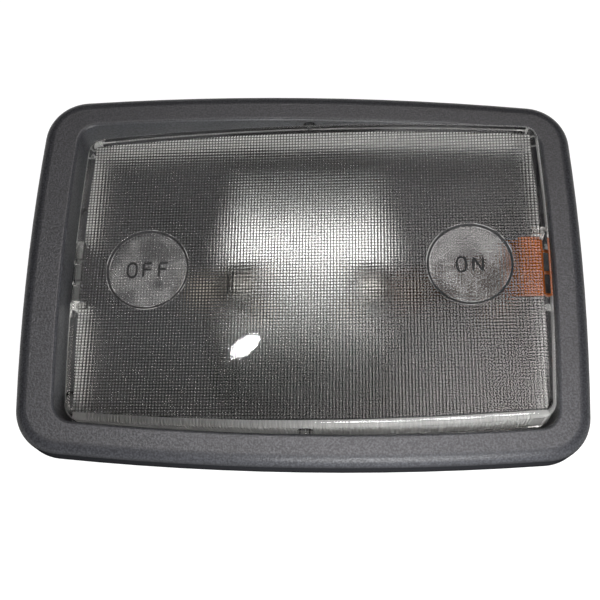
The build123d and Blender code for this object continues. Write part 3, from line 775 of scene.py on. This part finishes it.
def clear_lens_plastic(size, tone):
    """Clear plastic, polished outside: painted shade in the grooves between the prisms, milky flutes and
    lugs, rubbed dishes.

    What is milky, hazy or rubbed lets less light through: the flutes and lugs, the prisms with a patchy bloom
    under the dishes, and two broken rings at the rim of each dish.
    """
    material, tree, shader = new_finish("clear_lens_plastic")
    shader.inputs["IOR"].default_value = 1.49
    x, y, z = lens_places(tree, size)
    bowl_end, rim_start = size.dish_radius - 0.0005, size.dish_radius - 0.0002
    ring_radii, ring_half = (size.dish_radius + 0.00015, size.dish_radius - 0.00055), 0.00009
    under, rise = prism_floor(size), size.bulge * size.pitch / 4
    face_depth, wall_drop = 0.001, 0.0001

    from_dish = plan_length(tree, sums(tree, "SUBTRACT", x, size.dish_offset), y)
    dish = between(tree, from_dish, 1.0, 0.0, bowl_end, rim_start)
    face = close_to(tree, z, size.top, face_depth)

    lines = sums(tree, "MULTIPLY", groove_places(tree, size, x, y), between(tree, dish, 1.0, 0.4, 0.0, 1.0))
    # Painted shade: the face's reflection is tinted darker over the grooves beneath it, which leaves a
    # pattern of dots
    join(tree, between(tree, lines, 0.65, 0.1, 0.0, 1.0), shader, "Specular Tint")
    prisms = close_to(tree, z, under + rise, 1.5 * rise)
    grooves = sums(tree, "MULTIPLY", lines, prisms)
    pillows = sums(tree, "MULTIPLY", sums(tree, "SUBTRACT", 1.0, lines), prisms)

    hanging = sums(tree, "LESS_THAN", z, under - wall_drop)
    flutes = sums(tree, "MULTIPLY", flute_places(tree, size, x, y), hanging)
    lugs = sums(tree, "MULTIPLY", lug_places(tree, size, x, y), hanging)
    milk = sums(tree, "MULTIPLY", sums(tree, "MAXIMUM", flutes, lugs), 0.22)
    bloom = between(tree, speckle(tree, 0.004, 2.0), 0.02, 0.17, 0.42, 0.62)
    haze = sums(tree, "MULTIPLY", sums(tree, "ADD", sums(tree, "MULTIPLY", dish, bloom), 0.03), pillows)
    rings = (close_to(tree, from_dish, radius, ring_half) for radius in ring_radii)
    broken = between(tree, speckle(tree, 0.006, 2.0), 0.0, 0.4, 0.4, 0.6)
    rubbed = sums(tree, "MULTIPLY", sums(tree, "MAXIMUM", *rings), face, broken)
    cloudy = sums(tree, "MAXIMUM", milk, haze, rubbed)
    join(tree, sums(tree, "SUBTRACT", 1.0, cloudy), shader, "Transmission Weight")

    plain = toned(tree, speckle(tree, 0.012, 3.0), tone, 0.97, 1.0)
    # Painted shade: the grooves between the prisms get a dark colour, which also darkens what shines through
    # them
    join(tree, darker(tree, plain, grooves, tone, 0.14), shader, "Base Color")
    scuffs = speckle(tree, 0.0006, 2.0, (6.0, 1.0, 1.0))
    join(tree, between(tree, scuffs, 0.015, 0.05), shader, "Roughness")
    relief(tree, shader, sums(tree, "MULTIPLY", dish, face, speckle(tree, 0.0005, 1.0)), 0.6, 0.00006)
    soft = put(tree, "ShaderNodeBsdfTranslucent", {"Color": (*tone, 1.0)})
    whole = blended(tree, sums(tree, "MULTIPLY", flutes, 0.3), shader, soft)
    lamps_through(tree, whole, [0.9 * c for c in tone])
    return material


def bulb_glass_finish(tone):
    """Thin clear glass with a faint smoky film."""
    material, tree, shader = new_finish("bulb_glass_finish")
    film = speckle(tree, 0.006, 3.0)
    join(tree, toned(tree, film, tone, 0.5, 0.8), shader, "Base Color")
    join(tree, between(tree, film, 0.05, 0.12), shader, "Roughness")
    join(tree, between(tree, film, 0.025, 0.05), shader, "Alpha")
    return material


def rolled_metal(name, tone, smooth, rough, grain=(12.0, 1.0, 1.0)):
    """Metal with rolling marks along one axis, a patchy tarnish and a fine relief."""
    material, tree, shader = new_finish(name)
    shader.inputs["Metallic"].default_value = 1.0
    marks, patch = speckle(tree, 0.00025, 3.0, grain), speckle(tree, 0.005, 3.0)
    tarnish = toned(tree, patch, tone, 0.82, 1.05)
    streak = toned(tree, marks, (1.0, 1.0, 1.0), 0.9, 1.0)
    join(tree, times(tree, tarnish, streak), shader, "Base Color")
    join(tree, between(tree, marks, smooth, rough), shader, "Roughness")
    relief(tree, shader, marks, 0.12, 0.00004)
    return material


def painted_shade_along(material, axis, start, stop, dark, mirrored=False):
    """Paints shade into a finish along an axis, or to both sides: a share of its tone at start, all of it at
    stop.
    """
    tree = material.node_tree
    shader = tree.nodes["Principled BSDF"]
    bright = shader.inputs["Base Color"].links[0].from_socket
    place = put(tree, "ShaderNodeTexCoord").outputs["Object"]
    along = put(tree, "ShaderNodeSeparateXYZ", {0: place}).outputs[axis]
    if mirrored:
        along = put(tree, "ShaderNodeMath", {0: along}, operation="ABSOLUTE").outputs[0]
    # Painted shade: the colour darkens to a share of its tone towards the start
    painted_shade = toned(tree, between(tree, along, 0.0, 1.0, start, stop), (1.0, 1.0, 1.0), dark, 1.0, 0.0, 1.0)
    join(tree, times(tree, bright, painted_shade), shader, "Base Color")
    return material


def filled_paint(tone):
    """Dark paint wiped into the strokes of the words, thinner in places."""
    material, tree, shader = new_finish("filled_paint")
    wiped = speckle(tree, 0.0005, 3.0)
    shader.inputs["Specular IOR Level"].default_value = 0.1
    join(tree, toned(tree, wiped, tone, 0.7, 1.9), shader, "Base Color")
    join(tree, between(tree, wiped, 0.5, 0.8), shader, "Roughness")
    return material


def dress(material, *names):
    """Gives nodes of the frame their finish."""
    for name in names:
        mesh = nodes[name].data
        mesh.materials.clear()
        mesh.materials.append(material)


def seat(piece, body, slot, material, *stands_for):
    """Puts a new piece on its body, with its finish and the nodes it stands for."""
    piece.data.materials.clear()
    piece.data.materials.append(material)
    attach(piece, body)
    if stands_for:
        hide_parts(*stands_for)


def aimed(place, back, side):
    """The matrix of a lamp or camera at a place, with its Z axis along back and its X axis towards side."""
    back = back.normalized()
    side = (side - side.dot(back) * back).normalized()
    return Matrix.Translation(place) @ Matrix((side, back.cross(side), back)).transposed().to_4x4()


class DOME_OT_lens(bpy.types.Operator):
    """Make the rocking lens with its prisms, flutes, dishes, slots, lugs and pins"""

    bl_idname = "dome.lens"
    bl_label = "Lens"

    def execute(self, context):
        size = context.scene.dome_lens
        piece = mesh_object("prism_lens", *welded(lens_shell(size)))
        carve(piece, mesh_object("lens_fittings", *lens_fittings(size)), "UNION")
        carve(piece, mesh_object("slot_cutter", *slot_cutter(size)), "DIFFERENCE")
        shade_by_angle(piece, 28)
        bulged_prisms(size, piece.data, tilt_matrix(size))
        finish = clear_lens_plastic(size, context.scene.dome_finish.lens)
        seat(piece, "rocker", "lens_plastic", finish, "lens")
        return {"FINISHED"}


class DOME_OT_words(bpy.types.Operator):
    """Make the words OFF and ON in the finger dishes"""

    bl_idname = "dome.words"
    bl_label = "Words"

    def execute(self, context):
        size, words = context.scene.dome_lens, context.scene.dome_words
        finish = filled_paint(context.scene.dome_finish.words)
        for word, side in (("OFF", -1), ("ON", 1)):
            strokes = word_strokes(word, side * size.dish_offset, size, words)
            piece = mesh_object(f"word_{word.lower()}", *welded(strokes))
            piece.data.transform(tilt_matrix(size))
            shade_by_angle(piece, 50)
            seat(piece, "rocker", "lens_plastic", finish)
        return {"FINISHED"}


class DOME_OT_filament(bpy.types.Operator):
    """Wind the filament coil on the bulb's axis"""

    bl_idname = "dome.filament"
    bl_label = "Filament"

    def execute(self, context):
        piece = mesh_object("filament_coil", *filament_coil(*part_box("bulb_filament")))
        shade_by_angle(piece, 80)
        wire_finish = rolled_metal("drawn_wire", context.scene.dome_finish.wire, 0.25, 0.45)
        seat(piece, "lamp", "filament", wire_finish, "bulb_filament")
        dress(wire_finish, "filament_leads")
        return {"FINISHED"}


class DOME_OT_switch_leaves(bpy.types.Operator):
    """Copy the switch leaf and the door contact as pieces of their own"""

    bl_idname = "dome.switch_leaves"
    bl_label = "Switch leaves"

    def execute(self, context):
        look = context.scene.dome_finish
        bronze = rolled_metal("rolled_bronze", look.bronze, 0.3, 0.48)
        # Painted shade: the leaf's colour darkens towards lower X, where it bends down away from the light
        bronze = painted_shade_along(bronze, "X", start=0.0462, stop=0.0505, dark=0.06)
        silver = rolled_metal("silver_contact", look.silver, 0.2, 0.35)
        # The last number is the share of its height that a piece keeps with the lens pressed home
        plan = (
            ("switch_spring", "switch_leaf", "spring_bronze", bronze, 0.594),
            ("door_contact", "door_leaf", "spring_bronze", bronze, 0.705),
            ("door_stud", "door_button", "contact_silver", silver, 0.705),
        )
        for node, name, slot, finish, keep in plan:
            shell = bmesh.new()
            shell.from_mesh(nodes[node].data)
            bmesh.ops.remove_doubles(shell, verts=shell.verts[:], dist=1e-6)
            mesh = bpy.data.meshes.new(name)
            shell.to_mesh(mesh)
            shell.free()
            piece = bpy.data.objects.new(name, mesh)
            context.scene.collection.objects.link(piece)
            shade_by_angle(piece, 32)
            seat(piece, "lamp", slot, finish, node)
            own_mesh(piece)
        dress(silver, "earth_stud")
        return {"FINISHED"}


class DOME_OT_box(bpy.types.Operator):
    """Finish the bezel and box"""

    bl_idname = "dome.box"
    bl_label = "Bezel and box"

    def execute(self, context):
        dress(grained_plastic(context.scene.dome_finish.bezel), "housing")
        return {"FINISHED"}


class DOME_OT_bulb(bpy.types.Operator):
    """Blow the bulb's thin envelope and finish its caps"""

    bl_idname = "dome.bulb"
    bl_label = "Bulb"

    def execute(self, context):
        look = context.scene.dome_finish
        shape = bulb_envelope(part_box("bulb_glass"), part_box("bulb_cap_switched"))
        envelope = mesh_object("bulb_envelope", *shape)
        shade_by_angle(envelope, 40)
        seat(envelope, "lamp", "bulb_glass", bulb_glass_finish(look.glass), "bulb_glass")
        caps = rolled_metal("tinned_cap", look.caps, 0.25, 0.4, (1.0, 6.0, 6.0))
        dress(caps, "bulb_cap_feed", "bulb_cap_switched")
        return {"FINISHED"}


class DOME_OT_metalwork(bpy.types.Operator):
    """Finish the reflector, strips, terminals and rivets"""

    bl_idname = "dome.metalwork"
    bl_label = "Reflector and strips"

    def execute(self, context):
        look = context.scene.dome_finish
        sheet = rolled_metal("bright_sheet", look.reflector, 0.2, 0.3)
        # Painted shade: the sheet's colour darkens below the middle and towards both ends
        sheet = painted_shade_along(sheet, "Y", start=-0.008, stop=0.004, dark=0.34)
        sheet = painted_shade_along(sheet, "X", start=0.0215, stop=0.0175, dark=0.25, mirrored=True)
        dress(sheet, "reflector")
        strips = rolled_metal("dull_steel", look.strips, 0.35, 0.5)
        dress(strips, "feed_strip", "link_strip", "earth_contact")
        brass = rolled_metal("rolled_brass", look.brass, 0.25, 0.4)
        dress(brass, "feed_terminal", "door_terminal", "earth_terminal")
        rivet = rolled_metal("rivet_metal", look.rivet, 0.3, 0.5, (1.0, 1.0, 1.0))
        dress(rivet, "reflector_rivets", "strip_rivets")
        return {"FINISHED"}


class DOME_OT_stage(bpy.types.Operator):
    """Lay the floor, set the light and aim the camera"""

    bl_idname = "dome.stage"
    bl_label = "Stage"

    def execute(self, context):
        look = context.scene.dome_stage
        self.lay_floor(look)
        self.light_world(context.scene, look)
        glint, spot_distance = Vector((-0.0137, -0.0166, 0.0075)), 0.6
        away, slant = Vector((-0.229, 0.275, 0.92)).normalized(), Vector((0.82, 0.57, 0.0))
        spot = glint + spot_distance * away
        self.hang_lamp("small_spot", spot, glint, slant, (0.028, 0.013), look.spot_power)
        front, low_edge = Vector((0.03, -0.115, 0.075)), Vector((0.0, -0.035, 0.0))
        level = Vector((1.0, 0.0, 0.0))
        self.hang_lamp("front_soft", front, low_edge, level, (0.09, 0.05), look.front_power)
        self.aim_camera(context.scene, look)
        context.scene.view_settings.view_transform = "Standard"
        return {"FINISHED"}

    def lay_floor(self, look):
        """A wide flat sheet under the lamp's rear rim, white to the viewer and in shadow under the lamp."""
        reach, white_share, white_strength = 2.0, 0.8, 1.2
        step = np.linspace(-reach, reach, 9)
        x, y = np.meshgrid(step, step)
        points, faces = ring_strip(np.stack([x, y, np.full_like(x, rear_height)], -1), closed=False)
        floor = mesh_object("floor", points, faces, outward=False)
        material, tree, shader = new_finish("pale_floor")
        paper = speckle(tree, 0.01, 3.0)
        join(tree, toned(tree, paper, look.floor, 0.985, 1.0), shader, "Base Color")
        shader.inputs["Roughness"].default_value = 0.8
        shader.inputs["Specular IOR Level"].default_value = 0.2
        ray = put(tree, "ShaderNodeLightPath").outputs
        seen = sums(tree, "MAXIMUM", ray["Is Camera Ray"], ray["Is Glossy Ray"], ray["Is Transmission Ray"])
        white = put(tree, "ShaderNodeEmission", {"Color": (1.0, 1.0, 1.0, 1.0), "Strength": white_strength})
        blended(tree, sums(tree, "MULTIPLY", seen, white_share), shader, white)
        floor.data.materials.append(material)

    def light_world(self, scene, look):
        """Studio light: a white horizon, dim walls, a glow overhead and a wide window on the viewer's side.

        A light's strength falls off as a power of the cosine of the angle from its middle.
        """
        world = bpy.data.worlds.new("studio")
        world.use_nodes = True
        tree = world.node_tree
        way = put(tree, "ShaderNodeTexCoord").outputs["Generated"]
        part = put(tree, "ShaderNodeSeparateXYZ", {0: way}).outputs
        light = sums(tree, "MULTIPLY", between(tree, part["Y"], 1.0, 0.45, -0.2, 0.3), look.wall)
        beams = (((0.07, 0.2, 0.977), 60.0, look.glow), ((0.1, -0.6, 0.79), 8.0, look.window))
        for aim, narrow, power in beams:
            beam = sums(tree, "POWER", sums(tree, "MAXIMUM", dot_product(tree, way, aim), 0.0), narrow)
            light = sums(tree, "ADD", light, sums(tree, "MULTIPLY", beam, power))
        warm = put(tree, "ShaderNodeVectorMath", {0: look.tint, "Scale": light}, operation="SCALE").outputs[0]
        far = between(tree, part["Z"], 1.0, 0.0, 0.08, 0.26)
        shown = put(tree, "ShaderNodeMixRGB", {"Fac": far, "Color1": warm, "Color2": (1.0, 1.0, 1.0, 1.0)})
        tree.links.new(shown.outputs[0], tree.nodes["Background"].inputs["Color"])
        scene.world = world

    def hang_lamp(self, name, place, target, long_way, size, power):
        """An oval lamp at a place, facing a target, with its length laid along a direction."""
        lamp = bpy.data.lights.new(name, "AREA")
        lamp.shape = "ELLIPSE"
        lamp.size, lamp.size_y = size
        lamp.energy = power
        holder = bpy.data.objects.new(name, lamp)
        holder.matrix_world = aimed(place, place - target, long_way)
        bpy.context.scene.collection.objects.link(holder)

    def aim_camera(self, scene, look):
        """The camera where the photograph was taken from."""
        camera = bpy.data.cameras.new("viewer")
        camera.sensor_width, camera.sensor_fit = 36.0, "HORIZONTAL"
        camera.lens = look.focal_length
        camera.clip_start = 0.01
        place = Vector((0.000734, -0.085246, 0.228721))
        ahead, up = Vector((-0.01047, 0.32908, -0.94424)), Vector((-0.0134, 0.94417, 0.3292))
        holder = bpy.data.objects.new("viewer", camera)
        holder.matrix_world = aimed(place, -ahead, ahead.cross(up))
        scene.collection.objects.link(holder)
        scene.camera = holder


class DOME_PT_panel(bpy.types.Panel):
    """Buttons and sizes of the dome light"""

    bl_label = "Dome Light"
    bl_idname = "DOME_PT_panel"
    bl_space_type = "VIEW_3D"
    bl_region_type = "UI"
    bl_category = "Dome Light"

    def draw(self, context):
        for step in steps:
            self.layout.operator(step.bl_idname)
        for group in groups:
            settings = getattr(context.scene, group)
            column = self.layout.column()
            for key in settings.__annotations__:
                column.prop(settings, key)


steps = (
    DOME_OT_box,
    DOME_OT_lens,
    DOME_OT_words,
    DOME_OT_filament,
    DOME_OT_switch_leaves,
    DOME_OT_bulb,
    DOME_OT_metalwork,
    DOME_OT_stage,
)
groups = {
    "dome_lens": DomeLensSizes,
    "dome_words": DomeWordSizes,
    "dome_finish": DomeFinishes,
    "dome_stage": DomeStage,
}


def register():
    """Adds the classes to Blender, and the groups of properties to its scenes."""
    for kind in (*groups.values(), *steps, DOME_PT_panel):
        bpy.utils.register_class(kind)
    for name, kind in groups.items():
        setattr(bpy.types.Scene, name, PointerProperty(type=kind))


def unregister():
    """Takes the properties and classes out again."""
    for name in groups:
        delattr(bpy.types.Scene, name)
    for kind in (DOME_PT_panel, *reversed(steps), *groups.values()):
        bpy.utils.unregister_class(kind)


def main():
    """Makes every piece and the stage."""
    register()
    for step in steps:
        family, action = step.bl_idname.split(".")
        getattr(getattr(bpy.ops, family), action)()


if __name__ == "__main__":
    main()
